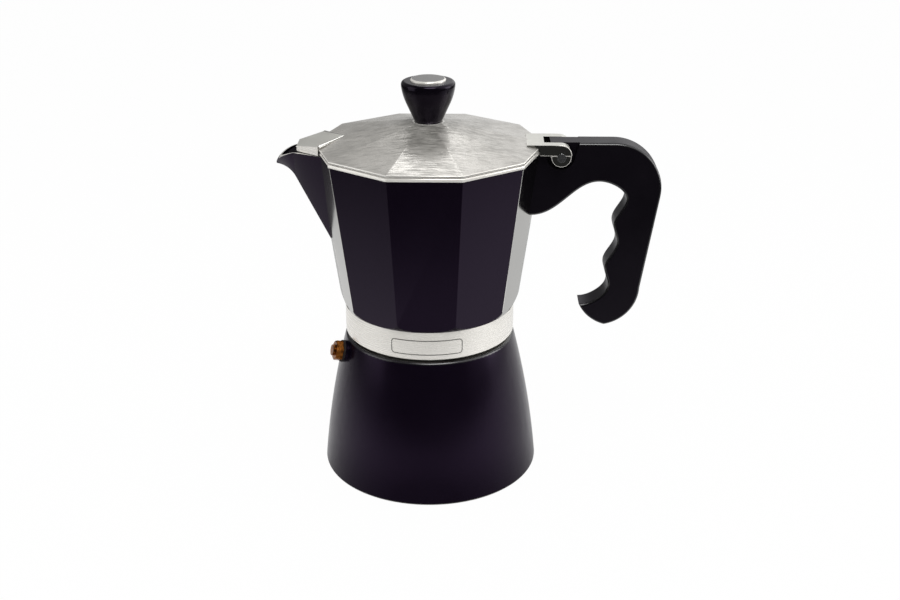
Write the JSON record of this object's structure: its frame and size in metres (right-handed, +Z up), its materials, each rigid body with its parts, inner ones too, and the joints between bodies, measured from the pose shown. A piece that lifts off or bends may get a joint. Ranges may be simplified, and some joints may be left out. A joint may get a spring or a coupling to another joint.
{
  "type": "moka pot",
  "caption": "Stove-top moka pot: round boiler with a safety valve, screwed-on faceted collector with a beaked spout, hinged lid with a knob, and a grooved side handle",
  "frame": {"origin": "centre of the round base, on the surface the pot stands on", "axes": "+Z up along the pot's axis, +X towards the handle and the lid's hinge, -X towards the spout, +Y away from the side seen in the picture"},
  "size_m": [0.1688, 0.0998, 0.1823],
  "materials": {
    "boiler_enamel": "satin dark enamel over cast aluminium",
    "collector_cast": "cast aluminium with dark satin enamel on the front and back panels and the spout, bare satin metal elsewhere",
    "lid_cast": "polished cast aluminium with fine wiping scratches",
    "pressed_aluminium": "pressed and turned aluminium",
    "handle_plastic": "black moulded thermoset plastic, satin",
    "knob_plastic": "black moulded thermoset plastic, satin",
    "knob_metal": "bright turned aluminium",
    "valve_brass": "turned brass, warmed by use",
    "valve_fibre": "dark sealing fibre",
    "gasket_rubber": "pale food-grade rubber",
    "fastener_steel": "plain drawn steel"
  },
  "bodies": {
    "boiler": {"boiler": "boiler_enamel", "valve_body": "valve_brass", "valve_washer": "valve_fibre", "valve_cap": "valve_brass", "valve_spring": "fastener_steel", "funnel": "pressed_aluminium", "funnel_filter": "pressed_aluminium"},
    "valve_stem": {"valve_poppet": "valve_brass", "valve_seal": "valve_fibre"},
    "seal": {"gasket": "gasket_rubber", "filter_plate": "pressed_aluminium"},
    "collector": {"collector": "collector_cast", "coffee_column": "pressed_aluminium", "handle": "handle_plastic", "handle_screw": "fastener_steel", "hinge_pin": "fastener_steel"},
    "lid": {"lid": "lid_cast", "lid_knob": "knob_plastic", "knob_insert": "knob_metal", "knob_screw": "fastener_steel", "knob_washer": "fastener_steel"}
  },
  "joints": [
    {"name": "collector_lift", "type": "slide", "parent": "boiler", "child": "seal", "axis": [0, 0, 1], "range_m": [0, 0.00701]},
    {"name": "collector_unscrew", "type": "hinge", "parent": "seal", "child": "collector", "pos_m": [0, 0, 0.07], "axis": [0, 0, 1], "range_deg": [0, 840]},
    {"name": "lid_hinge", "type": "hinge", "parent": "collector", "child": "lid", "pos_m": [0.0575, 0, 0.15], "axis": [0, 1, 0], "range_deg": [0, 105]},
    {"name": "valve_pop", "type": "slide", "parent": "boiler", "child": "valve_stem", "axis": [-0.924, -0.3002, 0.2367], "range_m": [0, 0.0015], "stiffness_N_per_m": 600, "springref_m": -0.0015, "deforming": ["valve_spring"]}
  ],
  "couplings": [
    {"joint": "collector_lift", "follows": "collector_unscrew", "m_per_rad": 0.00047746}
  ]
}
